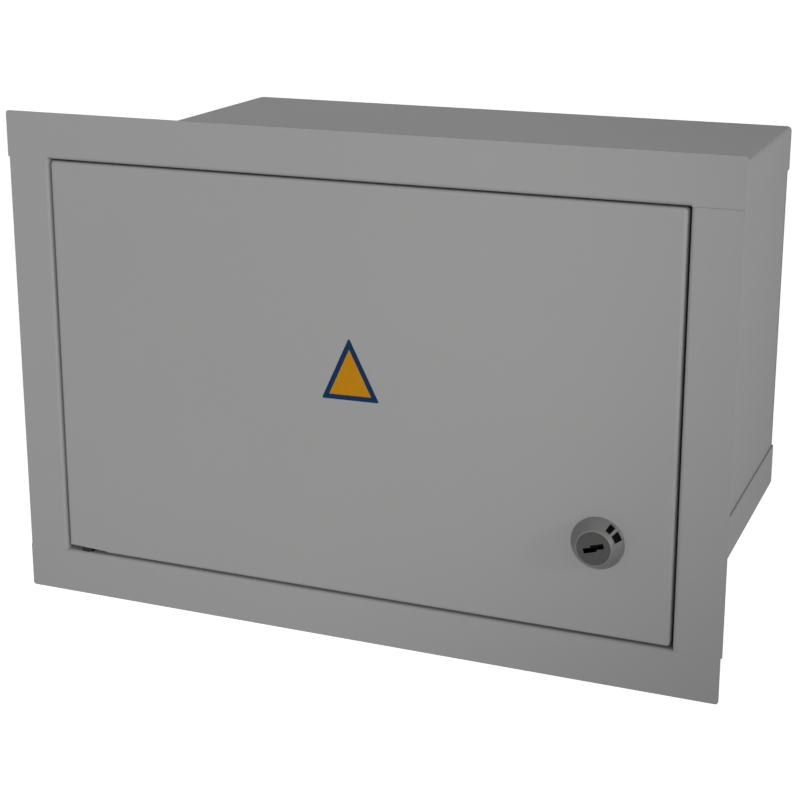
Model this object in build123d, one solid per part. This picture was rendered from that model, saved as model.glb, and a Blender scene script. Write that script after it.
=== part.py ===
"""Flush-mount distribution board: a folded steel box with a front frame, a flush door and a cam lock.

Millimetres. X runs to the right as seen from the front, Y to the back, Z up. The origin is the middle
of the four wall fixings, on the back of the box. The front frame faces -Y.
"""
import os

from build123d import *

# Box and frame
FRONT_WIDTH = 400.0  # across the frame
FRONT_HEIGHT = 275.0
DEPTH = 260.0  # face of the frame to the back of the box
STRIP_WIDTH = 25.0  # each frame strip, from the mouth outwards
SHEET = 1.0
BEND_RADIUS = 1.0  # inside a fold
STRIP_CORNER = 1.5  # rounded outer corners of the upper and lower strips
LEFT_STRIP_STEP = 0.9  # the left strip stops this far inside the upper strip
LOWER_STRIP_STEP_LEFT = 0.5  # the lower strip is a little shorter at each end
LOWER_STRIP_STEP_RIGHT = 0.8
STRIP_JOINT = 0.03  # between the side strips and the strips above and below
OPEN_JOINT = 0.12  # the hairline left at the top of the right strip
SIDE_LIP = 25.0  # lips of the top and bottom panels, over the outside of the sides
LIP_SETBACK = 4.0  # where those lips start, behind the frame's face
REAR_LIP = 14.0  # rear lips that carry the back panel
CORNER_RELIEF = 2.0  # room between two rear lips at a corner

# Wall fixings and cable entries
FIXING_SPACING_X = 290.0
FIXING_SPACING_Z = 160.0
FIXING_DIAMETER = 6.5
KNOCKOUT_COUNT = 4
KNOCKOUT_PITCH = 70.0
KNOCKOUT_DIAMETER = 25.0
KNOCKOUT_SLIT = 0.8
KNOCKOUT_TAB = 3.0
KNOCKOUT_FROM_BACK = 125.0

# Door
DOOR_GAP_LEFT = 1.2
DOOR_GAP_RIGHT = 1.5
DOOR_GAP_TOP = 1.0
DOOR_GAP_BOTTOM = 1.4
DOOR_RETURN = 13.0  # depth of the folded edges
DOOR_EDGE_RADIUS = 2.0
HINGE_RELIEF_LENGTH = 24.0  # cut at the lower left corner that lets the hinge pin in
HINGE_RELIEF_HIGH = 2.4
HINGE_RELIEF_LOW = 1.2

# Hinge
HINGE_INSET = 10.0  # pin centre from the door's left edge
HINGE_SETBACK = 5.0  # pin centre behind the door's face
PIN_DIAMETER = 4.0
PIN_HEAD_DIAMETER = 5.8
PIN_HEAD_HEIGHT = 1.5
PIN_REACH = 3.0  # how far a pin passes the sheet it carries
HINGE_PLATE_THICKNESS = 1.5
HINGE_PLATE_WIDTH = 20.0
HINGE_PLATE_RISE = 3.5  # underside of the plate above the door's lower edge
SPACER_DIAMETER = 8.0
RUNNING_CLEARANCE = 0.05  # on the radius

# Lock
LOCK_FROM_RIGHT = 38.2  # lock centre from the door's right edge
LOCK_FROM_BOTTOM = 50.1  # and from its lower edge
ESCUTCHEON_BASE_DIAMETER = 27.5
ESCUTCHEON_FACE_DIAMETER = 18.4
ESCUTCHEON_HEIGHT = 8.2
ESCUTCHEON_FOOT = 0.8  # straight edge at its base
ESCUTCHEON_ROUND = 0.6
BARREL_DIAMETER = 16.0
BARREL_LENGTH = 15.0  # behind the door's face
PLUG_HEAD_DIAMETER = 17.2
PLUG_HEAD_LENGTH = 6.5
PLUG_DIAMETER = 11.0
KEY_SLOT_LENGTH = 11.0
KEY_SLOT_WIDTH = 2.7
KEY_SLOT_STEP = 1.0  # offset between the two halves of the slot
KEY_SLOT_DEPTH = 6.0
KEY_SLOT_TILT = 16.0  # degrees, rising to the right
LOCK_NUT_FLATS = 22.0
LOCK_NUT_HEIGHT = 4.0
CAM_LENGTH = 33.0  # lock centre to the cam's tip
CAM_WIDTH = 13.0
CAM_THICKNESS = 2.0
CAM_SQUARE = 6.5
CAM_FIT = 0.05  # each side of the square
CAM_BEHIND_BARREL = 1.0
KEEPER_REACH = 14.0
KEEPER_HEIGHT = 40.0
KEEPER_THICKNESS = 1.5
KEEPER_DEPTH = 18.0
DOOR_STOP_GAP = 0.5

# Inner cover
COVER_SETBACK = 35.0  # behind the frame's face
COVER_GAP = 1.5
COVER_RETURN = 10.0
MODULE_SLOT_WIDTH = 283.0
MODULE_SLOT_HEIGHT = 46.0
ANGLE_DEPTH = 20.0
ANGLE_REACH = 16.0
ANGLE_HEIGHT = 180.0
COVER_SCREW_SPACING = 150.0
COVER_SCREW_INSET = 9.0  # from the side wall

# Mounting rail, a 35 mm hat section
RAIL_WIDTH = 35.0
RAIL_CHANNEL = 27.0
RAIL_HEIGHT = 7.5
RAIL_LENGTH = 306.0
RAIL_BEHIND_COVER = 46.0
RAIL_SLOT_COUNT = 11
RAIL_SLOT_PITCH = 26.0
RAIL_SLOT_LENGTH = 15.0
RAIL_SLOT_WIDTH = 6.2
POST_SLOT = 4  # the posts stand at this slot, counted from the middle
POST_WIDTH = 25.0
POST_HALF_HEIGHT = 20.0
POST_FOOT = 16.0

# Terminal bars
BAR_FROM_WALL = 40.5  # middle of a bar from the wall above or below it
BAR_LENGTH = 110.0
BAR_DEPTH = 9.0
BAR_HEIGHT = 7.0
TERMINAL_COUNT = 10
TERMINAL_PITCH = 8.0
WIRE_HOLE_DIAMETER = 4.8
BAR_FIXING_INSET = 6.0
BRACKET_LENGTH = 120.0
BRACKET_HEIGHT = 30.0
BRACKET_HALF_WEB = 11.0
BRACKET_FOOT = 12.0
SUPPORT_LENGTH = 12.0
SUPPORT_WIDTH = 14.0
SUPPORT_HEIGHT = 18.0
SUPPORT_SEAT = 3.0  # the bar sinks this far into its support

# Earth studs
STUD_DIAMETER = 6.0
STUD_LENGTH = 18.0
DOOR_STUD_LENGTH = 14.0
STUD_NUT_FLATS = 10.0
STUD_NUT_HEIGHT = 5.0
STUD_WASHER_DIAMETER = 12.5
STUD_WASHER_THICKNESS = 1.2
BOX_STUD_X = 100.0  # in line with the earth bar
DOOR_STUD_FROM_LEFT = 50.0
DOOR_STUD_FROM_BOTTOM = 30.0

# Screws: shank diameter, head diameter, head height
SCREW_M4 = (4.0, 7.0, 2.6)
SCREW_M5 = (5.0, 9.0, 3.2)
TERMINAL_SCREW = (3.8, 5.4, 3.0)
SCREW_CLEARANCE = 0.1  # on the radius
DRIVE_SLOT_WIDTH = 1.0
DRIVE_SLOT_DEPTH = 1.2

# Places worked out from the sizes above
FRONT_Y = -DEPTH
MOUTH_X = FRONT_WIDTH / 2 - STRIP_WIDTH
MOUTH_Z = FRONT_HEIGHT / 2 - STRIP_WIDTH
BACK_FACE = -SHEET  # inner face of the back panel
DOOR_LEFT = -MOUTH_X + DOOR_GAP_LEFT
DOOR_RIGHT = MOUTH_X - DOOR_GAP_RIGHT
DOOR_TOP = MOUTH_Z - DOOR_GAP_TOP
DOOR_BOTTOM = -MOUTH_Z + DOOR_GAP_BOTTOM
HINGE_X = DOOR_LEFT + HINGE_INSET
HINGE_Y = FRONT_Y + HINGE_SETBACK
PLATE_Z = DOOR_BOTTOM + HINGE_PLATE_RISE
LOCK_X = DOOR_RIGHT - LOCK_FROM_RIGHT
LOCK_Z = DOOR_BOTTOM + LOCK_FROM_BOTTOM
LOCK_FRONT = FRONT_Y - ESCUTCHEON_HEIGHT
CAM_FRONT = FRONT_Y + BARREL_LENGTH + CAM_BEHIND_BARREL
KEEPER_FRONT = FRONT_Y + DOOR_RETURN + DOOR_STOP_GAP
COVER_FRONT = FRONT_Y + COVER_SETBACK
ANGLE_FRONT = COVER_FRONT + SHEET
RAIL_FRONT = COVER_FRONT + RAIL_BEHIND_COVER
RAIL_BACK = RAIL_FRONT + RAIL_HEIGHT
POST_X = POST_SLOT * RAIL_SLOT_PITCH
BAR_Z = MOUTH_Z - BAR_FROM_WALL
WEB_FRONT = BACK_FACE - BRACKET_HEIGHT
SEAT_FRONT = WEB_FRONT - SUPPORT_HEIGHT + SUPPORT_SEAT
BOTH_SIDES = (-1, 1)

os.makedirs("parts", exist_ok=True)


def box(x, y, z):
    """A block between the two limits given for each axis."""
    size = [high - low for low, high in (x, y, z)]
    middle = [(high + low) / 2 for low, high in (x, y, z)]
    return Pos(*middle) * Box(*size)


def folded(plane, middle_line, length):
    """A folded sheet: the line through the middle of its section, pushed along the folds."""
    line = FilletPolyline(*middle_line, radius=BEND_RADIUS + SHEET / 2)
    return extrude(plane * trace(line, line_width=SHEET), amount=length)


def across(x):
    """Sections drawn in Y and Z and pushed along X, starting at x."""
    return Plane.YZ.offset(x)


def upwards(z):
    """Sections drawn in X and Y and pushed along Z, starting at z."""
    return Plane.XY.offset(z)


def backwards(y):
    """Sections drawn in X and Z and pushed along Y, starting at y."""
    return Plane(origin=(0, y, 0), x_dir=(1, 0, 0), z_dir=(0, -1, 0))


def rod(diameter, x, z, y_front, y_back):
    """A round bar along Y."""
    return extrude(backwards(y_front) * Pos(x, z) * Circle(diameter / 2), amount=y_front - y_back)


def post(diameter, x, y, z_low, z_high):
    """A round bar along Z."""
    return extrude(upwards(z_low) * Pos(x, y) * Circle(diameter / 2), amount=z_high - z_low)


def hexagon(flats, x, z, y_front, y_back):
    """A six-sided bar along Y."""
    section = RegularPolygon(flats / 2, 6, major_radius=False)
    return extrude(backwards(y_front) * Pos(x, z) * section, amount=y_front - y_back)


def screw(size, x, z, seat_y, length):
    """A slotted pan-head screw that enters towards the back; its head seats at seat_y."""
    shank, head, height = size
    body = rod(head, x, z, seat_y - height, seat_y)
    body = fillet(body.edges().group_by(Axis.Y)[0], height / 4)
    body += rod(shank, x, z, seat_y, seat_y + length)
    slot_y = (seat_y - height - 1, seat_y - height + DRIVE_SLOT_DEPTH)
    half_slot = DRIVE_SLOT_WIDTH / 2
    return body - box((x - head, x + head), slot_y, (z - half_slot, z + half_slot))


def screw_hole(size, x, z, y_front, y_back):
    """The clearance hole for a screw."""
    return rod(size[0] + 2 * SCREW_CLEARANCE, x, z, y_front, y_back)


def save(name, shape):
    """Writes one node; a list of solids becomes a group."""
    if isinstance(shape, list):
        shape = Compound(children=shape)
    export_step(shape, f"parts/{name}.step")


def end_panel(strip_left, strip_right):
    """The top panel: wall, front strip, lips over the two sides and a lip at the rear."""
    wall_middle = MOUTH_Z + SHEET / 2
    strip_middle = FRONT_Y + SHEET / 2
    rear_middle = BACK_FACE - SHEET / 2
    lip_middle = MOUTH_X + 1.5 * SHEET
    rear_start = BACK_FACE - REAR_LIP
    rear_half = MOUTH_X - REAR_LIP - CORNER_RELIEF
    front_fold = [
        (strip_middle, FRONT_HEIGHT / 2),
        (strip_middle, wall_middle),
        (rear_start, wall_middle),
    ]
    rear_fold = [
        (rear_start, wall_middle),
        (rear_middle, wall_middle),
        (rear_middle, MOUTH_Z - REAR_LIP),
    ]
    lip_start = FRONT_Y + LIP_SETBACK
    wall_z = (MOUTH_Z, MOUTH_Z + SHEET)
    strip_z = (MOUTH_Z, FRONT_HEIGHT / 2)
    lip_z = (MOUTH_Z - SIDE_LIP, MOUTH_Z - BEND_RADIUS)
    panel = folded(across(-MOUTH_X), front_fold, 2 * MOUTH_X)
    panel += folded(across(-rear_half), rear_fold, 2 * rear_half)
    for side, strip_end in zip(BOTH_SIDES, (strip_left, strip_right)):
        side_fold = [
            (side * (MOUTH_X - REAR_LIP), wall_middle),
            (side * lip_middle, wall_middle),
            (side * lip_middle, MOUTH_Z - SIDE_LIP),
        ]
        panel += folded(backwards(lip_start), side_fold, lip_start - BACK_FACE)
        lip_x = sorted((side * (MOUTH_X + SHEET), side * (MOUTH_X + 2 * SHEET)))
        panel += box(lip_x, (BACK_FACE, 0), lip_z)
        front_corner_x = sorted((side * MOUTH_X, side * (MOUTH_X + 2 * SHEET)))
        panel += box(front_corner_x, (FRONT_Y, lip_start), wall_z)
        corner_x = sorted((side * rear_half, side * MOUTH_X))
        panel += box(corner_x, (rear_start, BACK_FACE), wall_z)
        strip_x = sorted((side * MOUTH_X, side * strip_end))
        panel += box(strip_x, (FRONT_Y, FRONT_Y + SHEET), strip_z)
    corners = panel.edges().filter_by(Axis.Y).group_by(Axis.Z)[-1]
    return fillet(corners, STRIP_CORNER)


def side_panel(side, strip_end, upper_joint):
    """A side wall with its front strip turned outwards and a rear lip turned inwards."""
    wall_middle = side * (MOUTH_X + SHEET / 2)
    strip_middle = FRONT_Y + SHEET / 2
    rear_middle = BACK_FACE - SHEET / 2
    front_end = FRONT_Y + LIP_SETBACK - STRIP_JOINT
    front_fold = [
        (side * strip_end, strip_middle),
        (wall_middle, strip_middle),
        (wall_middle, front_end),
    ]
    rear_fold = [
        (wall_middle, front_end),
        (wall_middle, rear_middle),
        (side * (MOUTH_X - REAR_LIP), rear_middle),
    ]
    strip_low = STRIP_JOINT - MOUTH_Z
    strip_high = MOUTH_Z - upper_joint
    half_wall = MOUTH_Z - BEND_RADIUS
    panel = folded(upwards(strip_low), front_fold, strip_high - strip_low)
    return panel + folded(upwards(-half_wall), rear_fold, 2 * half_wall)


def knockouts():
    """Round slits through the bottom panel, each left hanging on two tabs."""
    first = -(KNOCKOUT_COUNT - 1) / 2 * KNOCKOUT_PITCH
    outer = KNOCKOUT_DIAMETER / 2
    ring = Circle(outer) - Circle(outer - KNOCKOUT_SLIT)
    ring -= Rectangle(KNOCKOUT_TAB, 2 * KNOCKOUT_DIAMETER)
    places = [Pos(first + i * KNOCKOUT_PITCH, -KNOCKOUT_FROM_BACK) for i in range(KNOCKOUT_COUNT)]
    low = -MOUTH_Z - 2 * SHEET
    return [extrude(upwards(low) * place * ring, amount=3 * SHEET) for place in places]


# Enclosure: top, bottom, sides and back
half_front = FRONT_WIDTH / 2
pin_hole = PIN_DIAMETER + 2 * RUNNING_CLEARANCE
top_panel = end_panel(half_front, half_front)
top_panel -= post(pin_hole, HINGE_X, HINGE_Y, MOUTH_Z - SHEET, MOUTH_Z + 2 * SHEET)
save("top_panel", top_panel)

bottom_panel = end_panel(half_front - LOWER_STRIP_STEP_LEFT, half_front - LOWER_STRIP_STEP_RIGHT)
bottom_panel = mirror(bottom_panel, about=Plane.XY)
bottom_panel -= post(pin_hole, HINGE_X, HINGE_Y, -MOUTH_Z - 2 * SHEET, -MOUTH_Z + SHEET)
bottom_panel -= knockouts()
save("bottom_panel", bottom_panel)

save("left_side_panel", side_panel(-1, half_front - LEFT_STRIP_STEP, STRIP_JOINT))
save("right_side_panel", side_panel(1, half_front, OPEN_JOINT))

back_x = MOUTH_X + SHEET
back_z = MOUTH_Z + SHEET
back_panel = box((-back_x, back_x), (BACK_FACE, 0), (-back_z, back_z))
back_panel = fillet(back_panel.edges().filter_by(Axis.Y), BEND_RADIUS + SHEET)
for side in BOTH_SIDES:
    for end in BOTH_SIDES:
        fixing_x = side * FIXING_SPACING_X / 2
        fixing_z = end * FIXING_SPACING_Z / 2
        back_panel -= rod(FIXING_DIAMETER, fixing_x, fixing_z, BACK_FACE - SHEET, SHEET)
save("back_panel", back_panel)

# Hinge pins, pushed in from outside and staked, and the spacer that carries the door
wall_top = MOUTH_Z + SHEET
pin_top = post(PIN_HEAD_DIAMETER, HINGE_X, HINGE_Y, wall_top, wall_top + PIN_HEAD_HEIGHT)
pin_top += post(PIN_DIAMETER, HINGE_X, HINGE_Y, DOOR_TOP - SHEET - PIN_REACH, wall_top)
save("hinge_pin_top", pin_top)

plate_top = PLATE_Z + HINGE_PLATE_THICKNESS
pin_bottom = post(PIN_HEAD_DIAMETER, HINGE_X, HINGE_Y, -wall_top - PIN_HEAD_HEIGHT, -wall_top)
pin_bottom += post(PIN_DIAMETER, HINGE_X, HINGE_Y, -wall_top, plate_top + PIN_REACH)
save("hinge_pin_bottom", pin_bottom)

spacer = post(SPACER_DIAMETER, HINGE_X, HINGE_Y, -MOUTH_Z, PLATE_Z)
spacer -= post(pin_hole, HINGE_X, HINGE_Y, -MOUTH_Z - SHEET, PLATE_Z + SHEET)
save("hinge_spacer", spacer)

# Keeper on the right wall: the cam grips behind it and the door stops on it
keeper_z = (LOCK_Z - KEEPER_HEIGHT / 2, LOCK_Z + KEEPER_HEIGHT / 2)
keeper_leg = (KEEPER_FRONT, KEEPER_FRONT + KEEPER_THICKNESS)
keeper = box((MOUTH_X - KEEPER_REACH, MOUTH_X), keeper_leg, keeper_z)
keeper_wall = (KEEPER_FRONT, KEEPER_FRONT + KEEPER_DEPTH)
keeper += box((MOUTH_X - KEEPER_THICKNESS, MOUTH_X), keeper_wall, keeper_z)
keeper_tips = keeper.edges().filter_by(Axis.Y).group_by(Axis.X)[0]
keeper = fillet(keeper_tips, KEEPER_REACH / 4)
save("lock_keeper", keeper)

# Cover angles on the side walls
cover_screw_x = MOUTH_X - COVER_SCREW_INSET
cover_screw_z = COVER_SCREW_SPACING / 2
for side, name in zip(BOTH_SIDES, ("left", "right")):
    section = [
        (side * (MOUTH_X - SHEET / 2), ANGLE_FRONT + ANGLE_DEPTH),
        (side * (MOUTH_X - SHEET / 2), ANGLE_FRONT + SHEET / 2),
        (side * (MOUTH_X - ANGLE_REACH), ANGLE_FRONT + SHEET / 2),
    ]
    angle = folded(upwards(-ANGLE_HEIGHT / 2), section, ANGLE_HEIGHT)
    for end in BOTH_SIDES:
        place = (side * cover_screw_x, end * cover_screw_z)
        angle -= screw_hole(SCREW_M4, *place, COVER_FRONT, ANGLE_FRONT + 2 * SHEET)
    save(f"cover_angle_{name}", angle)

# Inner cover with the module slot, and its screws
cover_x = MOUTH_X - COVER_GAP
cover_edge = MOUTH_Z - COVER_GAP - SHEET / 2
cover_middle = COVER_FRONT + SHEET / 2
cover_section = [
    (COVER_FRONT + COVER_RETURN, cover_edge),
    (cover_middle, cover_edge),
    (cover_middle, -cover_edge),
    (COVER_FRONT + COVER_RETURN, -cover_edge),
]
cover = folded(across(-cover_x), cover_section, 2 * cover_x)
slot = RectangleRounded(MODULE_SLOT_WIDTH, MODULE_SLOT_HEIGHT, BEND_RADIUS)
cover -= extrude(backwards(COVER_FRONT - SHEET) * slot, amount=-3 * SHEET)
cover_screws = []
for side in BOTH_SIDES:
    for end in BOTH_SIDES:
        place = (side * cover_screw_x, end * cover_screw_z)
        cover -= screw_hole(SCREW_M4, *place, COVER_FRONT - SHEET, ANGLE_FRONT + SHEET)
        cover_screws.append(screw(SCREW_M4, *place, COVER_FRONT, 3 * SCREW_M4[2]))
save("inner_cover", cover)
save("cover_screws", cover_screws)

# Rail posts on the back panel
foot_middle = BACK_FACE - SHEET / 2
post_front = RAIL_BACK + SHEET / 2
post_side = POST_HALF_HEIGHT + SHEET / 2
post_section = [
    (foot_middle, -post_side - POST_FOOT),
    (foot_middle, -post_side),
    (post_front, -post_side),
    (post_front, post_side),
    (foot_middle, post_side),
    (foot_middle, post_side + POST_FOOT),
]
for side, name in zip(BOTH_SIDES, ("left", "right")):
    rail_post = folded(across(side * POST_X - POST_WIDTH / 2), post_section, POST_WIDTH)
    rail_post -= screw_hole(SCREW_M5, side * POST_X, 0, RAIL_BACK - SHEET, RAIL_BACK + 2 * SHEET)
    save(f"rail_post_{name}", rail_post)

# Mounting rail and its screws
rim_middle = RAIL_FRONT + SHEET / 2
base_middle = RAIL_BACK - SHEET / 2
channel = RAIL_CHANNEL / 2 - SHEET / 2
rail_section = [
    (rim_middle, -RAIL_WIDTH / 2),
    (rim_middle, -channel),
    (base_middle, -channel),
    (base_middle, channel),
    (rim_middle, channel),
    (rim_middle, RAIL_WIDTH / 2),
]
rail = folded(across(-RAIL_LENGTH / 2), rail_section, RAIL_LENGTH)
rail_slot = SlotOverall(RAIL_SLOT_LENGTH, RAIL_SLOT_WIDTH)
for i in range(RAIL_SLOT_COUNT):
    slot_x = (i - (RAIL_SLOT_COUNT - 1) / 2) * RAIL_SLOT_PITCH
    slot_start = backwards(RAIL_BACK - 2 * SHEET)
    rail -= extrude(slot_start * Pos(slot_x, 0) * rail_slot, amount=-3 * SHEET)
save("din_rail", rail)
rail_seat = RAIL_BACK - SHEET
rail_grip = 3 * SCREW_M5[2]
save("rail_screws", [screw(SCREW_M5, side * POST_X, 0, rail_seat, rail_grip) for side in BOTH_SIDES])

# Terminal bars: brackets on the back panel, bars, insulating supports and screws
bar_fixing_x = BAR_LENGTH / 2 - BAR_FIXING_INSET
first_terminal = -(TERMINAL_COUNT - 1) / 2 * TERMINAL_PITCH
terminal_places = [first_terminal + i * TERMINAL_PITCH for i in range(TERMINAL_COUNT)]


def bar_bracket(z):
    """A hat-section bracket that stands on the back panel."""
    web = WEB_FRONT + SHEET / 2
    wall = BRACKET_HALF_WEB - SHEET / 2
    section = [
        (foot_middle, z - wall - BRACKET_FOOT),
        (foot_middle, z - wall),
        (web, z - wall),
        (web, z + wall),
        (foot_middle, z + wall),
        (foot_middle, z + wall + BRACKET_FOOT),
    ]
    bracket = folded(across(-BRACKET_LENGTH / 2), section, BRACKET_LENGTH)
    for side in BOTH_SIDES:
        fixing_x = side * bar_fixing_x
        bracket -= screw_hole(SCREW_M4, fixing_x, z, WEB_FRONT - SHEET, WEB_FRONT + 2 * SHEET)
    return bracket


def terminal_bar(z, back_y):
    """A brass bar with a wire hole and a screw hole at each terminal and a fixing hole at each end."""
    front_y = back_y - BAR_DEPTH
    half = BAR_LENGTH / 2
    bar = box((-half, half), (front_y, back_y), (z - BAR_HEIGHT / 2, z + BAR_HEIGHT / 2))
    wire_y = back_y - BAR_DEPTH / 2
    for x in terminal_places:
        bar -= post(WIRE_HOLE_DIAMETER, x, wire_y, z - BAR_HEIGHT, z + BAR_HEIGHT)
        bar -= screw_hole(TERMINAL_SCREW, x, z, front_y - SHEET, wire_y)
    for side in BOTH_SIDES:
        bar -= screw_hole(SCREW_M4, side * bar_fixing_x, z, front_y - SHEET, back_y + SHEET)
    return bar


def terminal_screws(z, back_y):
    """The row of terminal screws, turned in to the edge of the wire holes."""
    front_y = back_y - BAR_DEPTH
    reach = (BAR_DEPTH - WIRE_HOLE_DIAMETER) / 2
    return [screw(TERMINAL_SCREW, x, z, front_y, reach) for x in terminal_places]


def fixing_screws(z, back_y, length):
    """The two screws that hold a bar at its ends."""
    front_y = back_y - BAR_DEPTH
    return [screw(SCREW_M4, side * bar_fixing_x, z, front_y, length) for side in BOTH_SIDES]


save("neutral_bracket", bar_bracket(BAR_Z))
save("earth_bracket", bar_bracket(-BAR_Z))
save("neutral_bar", terminal_bar(BAR_Z, SEAT_FRONT))
save("earth_bar", terminal_bar(-BAR_Z, WEB_FRONT))
for side, name in zip(BOTH_SIDES, ("left", "right")):
    support_x = side * bar_fixing_x
    support_z = (BAR_Z - SUPPORT_WIDTH / 2, BAR_Z + SUPPORT_WIDTH / 2)
    half = SUPPORT_LENGTH / 2
    support_y = (WEB_FRONT - SUPPORT_HEIGHT, WEB_FRONT)
    support = box((support_x - half, support_x + half), support_y, support_z)
    support = fillet(support.edges().filter_by(Axis.Y), BEND_RADIUS)
    seat_z = (BAR_Z - BAR_HEIGHT / 2, BAR_Z + BAR_HEIGHT / 2)
    seat_y = (WEB_FRONT - 2 * SUPPORT_HEIGHT, SEAT_FRONT)
    support -= box((support_x - SUPPORT_LENGTH, support_x + SUPPORT_LENGTH), seat_y, seat_z)
    support -= screw_hole(SCREW_M4, support_x, BAR_Z, SEAT_FRONT - SHEET, WEB_FRONT + SHEET)
    save(f"neutral_support_{name}", support)
support_drop = WEB_FRONT - SEAT_FRONT
grip = BAR_DEPTH + 3 * SHEET
save("neutral_terminal_screws", terminal_screws(BAR_Z, SEAT_FRONT))
save("earth_terminal_screws", terminal_screws(-BAR_Z, WEB_FRONT))
save("neutral_fixing_screws", fixing_screws(BAR_Z, SEAT_FRONT, support_drop + grip))
save("earth_fixing_screws", fixing_screws(-BAR_Z, WEB_FRONT, grip))


# Earth studs, one welded to the back panel and one to the door
def earth_stud(prefix, x, z, foot_y, direction, length):
    """A welded stud with its washer and nut; direction is -1 towards the front and 1 to the back."""
    washer_end = foot_y + direction * STUD_WASHER_THICKNESS
    nut_end = washer_end + direction * STUD_NUT_HEIGHT
    stud = rod(STUD_DIAMETER, x, z, foot_y, foot_y + direction * length)
    tip = stud.edges().sort_by(Axis.Y)[0 if direction < 0 else -1]
    save(f"{prefix}earth_stud", chamfer(tip, STUD_DIAMETER / 8))
    bore = STUD_DIAMETER + 2 * SCREW_CLEARANCE
    washer = rod(STUD_WASHER_DIAMETER, x, z, foot_y, washer_end)
    washer -= rod(bore, x, z, foot_y - direction, washer_end + direction)
    save(f"{prefix}earth_washer", washer)
    nut = hexagon(STUD_NUT_FLATS, x, z, washer_end, nut_end)
    nut -= rod(bore, x, z, washer_end - direction, nut_end + direction)
    save(f"{prefix}earth_nut", nut)


earth_stud("", BOX_STUD_X, -BAR_Z, BACK_FACE, -1, STUD_LENGTH)
door_stud_x = DOOR_LEFT + DOOR_STUD_FROM_LEFT
door_stud_z = DOOR_BOTTOM + DOOR_STUD_FROM_BOTTOM
earth_stud("door_", door_stud_x, door_stud_z, FRONT_Y + SHEET, 1, DOOR_STUD_LENGTH)

# Door: a pan with welded and ground corners, cut away over the lower hinge pin
door_back = FRONT_Y + DOOR_RETURN
door = box((DOOR_LEFT, DOOR_RIGHT), (FRONT_Y, door_back), (DOOR_BOTTOM, DOOR_TOP))
door = fillet(door.edges().filter_by(Axis.Y) + door.edges().group_by(Axis.Y)[0], DOOR_EDGE_RADIUS)
inside_x = (DOOR_LEFT + SHEET, DOOR_RIGHT - SHEET)
inside_z = (DOOR_BOTTOM + SHEET, DOOR_TOP - SHEET)
hollow = box(inside_x, (FRONT_Y + SHEET, door_back + SHEET), inside_z)
hollow_edges = hollow.edges().filter_by(Axis.Y) + hollow.edges().group_by(Axis.Y)[0]
door -= fillet(hollow_edges, DOOR_EDGE_RADIUS - SHEET)
relief = Polygon(
    (DOOR_LEFT - SHEET, DOOR_BOTTOM - SHEET),
    (DOOR_LEFT + HINGE_RELIEF_LENGTH, DOOR_BOTTOM - SHEET),
    (DOOR_LEFT + HINGE_RELIEF_LENGTH, DOOR_BOTTOM + HINGE_RELIEF_LOW),
    (DOOR_LEFT - SHEET, DOOR_BOTTOM + HINGE_RELIEF_HIGH),
    align=None,
)
door -= extrude(backwards(FRONT_Y - SHEET) * relief, amount=-DOOR_RETURN - 3 * SHEET)
door -= post(pin_hole, HINGE_X, HINGE_Y, DOOR_TOP - 2 * SHEET, DOOR_TOP + SHEET)
barrel_hole = BARREL_DIAMETER + 2 * SCREW_CLEARANCE
door -= rod(barrel_hole, LOCK_X, LOCK_Z, FRONT_Y - SHEET, FRONT_Y + 2 * SHEET)
save("door_panel", door)

plate_x = (DOOR_LEFT + SHEET, DOOR_LEFT + SHEET + HINGE_PLATE_WIDTH)
hinge_plate = box(plate_x, (FRONT_Y + SHEET, door_back), (PLATE_Z, plate_top))
plate_corners = hinge_plate.edges().filter_by(Axis.Z).group_by(Axis.Y)[0]
hinge_plate = fillet(plate_corners, DOOR_EDGE_RADIUS - SHEET)
hinge_plate -= post(pin_hole, HINGE_X, HINGE_Y, PLATE_Z - SHEET, plate_top + SHEET)
save("door_hinge_plate", hinge_plate)

# Lock housing: conical escutcheon on the door, threaded barrel through it
lock_plane = Plane(origin=(LOCK_X, FRONT_Y, LOCK_Z), x_dir=(1, 0, 0), z_dir=(0, 0, 1))
lock_axis = Axis((LOCK_X, FRONT_Y, LOCK_Z), (0, 1, 0))
head_bore = PLUG_HEAD_DIAMETER / 2 + RUNNING_CLEARANCE
barrel_bore = PLUG_DIAMETER / 2 + RUNNING_CLEARANCE
housing_section = Polygon(
    (barrel_bore, BARREL_LENGTH),
    (barrel_bore, PLUG_HEAD_LENGTH - ESCUTCHEON_HEIGHT),
    (head_bore, PLUG_HEAD_LENGTH - ESCUTCHEON_HEIGHT),
    (head_bore, -ESCUTCHEON_HEIGHT),
    (ESCUTCHEON_FACE_DIAMETER / 2, -ESCUTCHEON_HEIGHT),
    (ESCUTCHEON_BASE_DIAMETER / 2, -ESCUTCHEON_FOOT),
    (ESCUTCHEON_BASE_DIAMETER / 2, 0),
    (BARREL_DIAMETER / 2, 0),
    (BARREL_DIAMETER / 2, BARREL_LENGTH),
    align=None,
)
front_corners = housing_section.vertices().group_by(Axis.Y)[0]
housing_section = fillet(front_corners.sort_by(Axis.X)[-1], ESCUTCHEON_ROUND)
save("lock_housing", revolve(lock_plane * housing_section, lock_axis))

nut_front = FRONT_Y + SHEET
nut_back = nut_front + LOCK_NUT_HEIGHT
lock_nut = hexagon(LOCK_NUT_FLATS, LOCK_X, LOCK_Z, nut_front, nut_back)
lock_nut -= rod(barrel_hole, LOCK_X, LOCK_Z, nut_front - SHEET, nut_back + SHEET)
save("lock_nut", lock_nut)

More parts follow.
